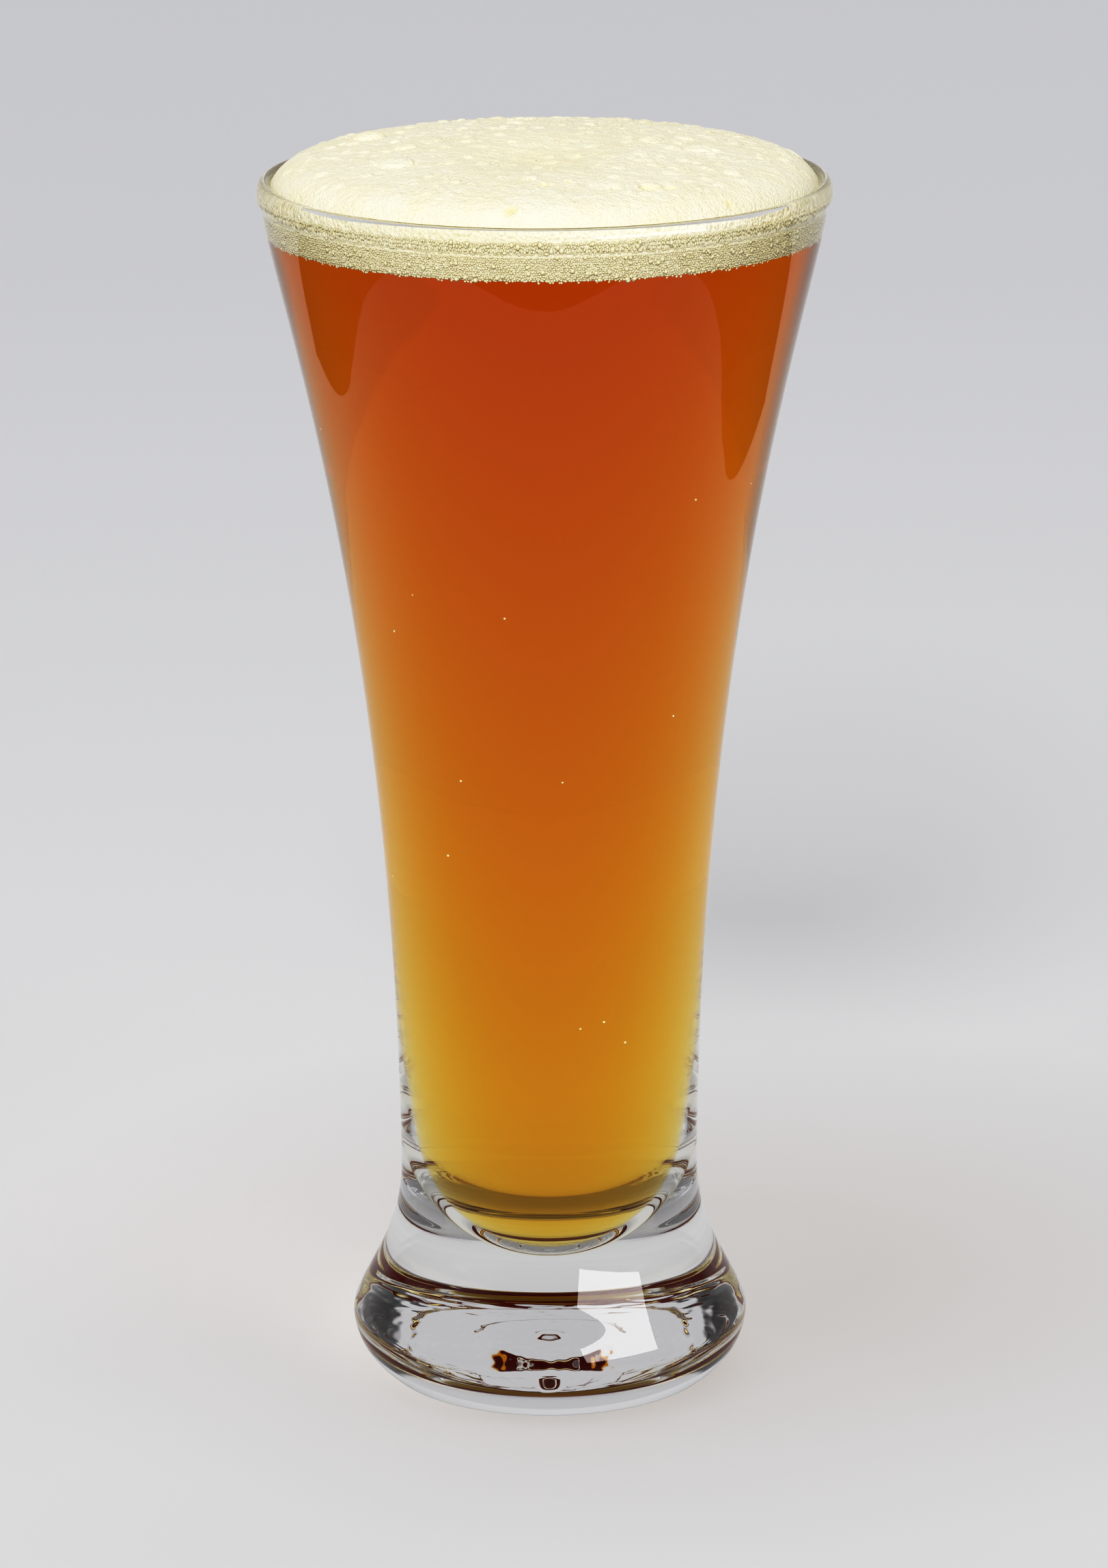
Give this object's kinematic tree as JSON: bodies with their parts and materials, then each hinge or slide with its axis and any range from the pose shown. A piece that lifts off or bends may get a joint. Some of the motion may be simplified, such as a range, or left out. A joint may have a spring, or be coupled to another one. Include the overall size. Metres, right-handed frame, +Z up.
{
  "type": "pint of beer",
  "caption": "Tall flared beer glass with a heavy rounded foot, filled with amber beer under a domed head of foam.",
  "frame": {"origin": "on the table, under the middle of the foot", "axes": "+Z up along the glass's axis of revolution, -Y towards the camera of the picture, +X to its right"},
  "size_m": [0.0956, 0.0956, 0.2139],
  "materials": {
    "glass": "clear polished",
    "beer": "clear amber liquid",
    "foam": "fine wet foam"
  },
  "bodies": {
    "root": {"glass": "glass", "beer": "beer", "foam": "foam"}
  },
  "joints": []
}
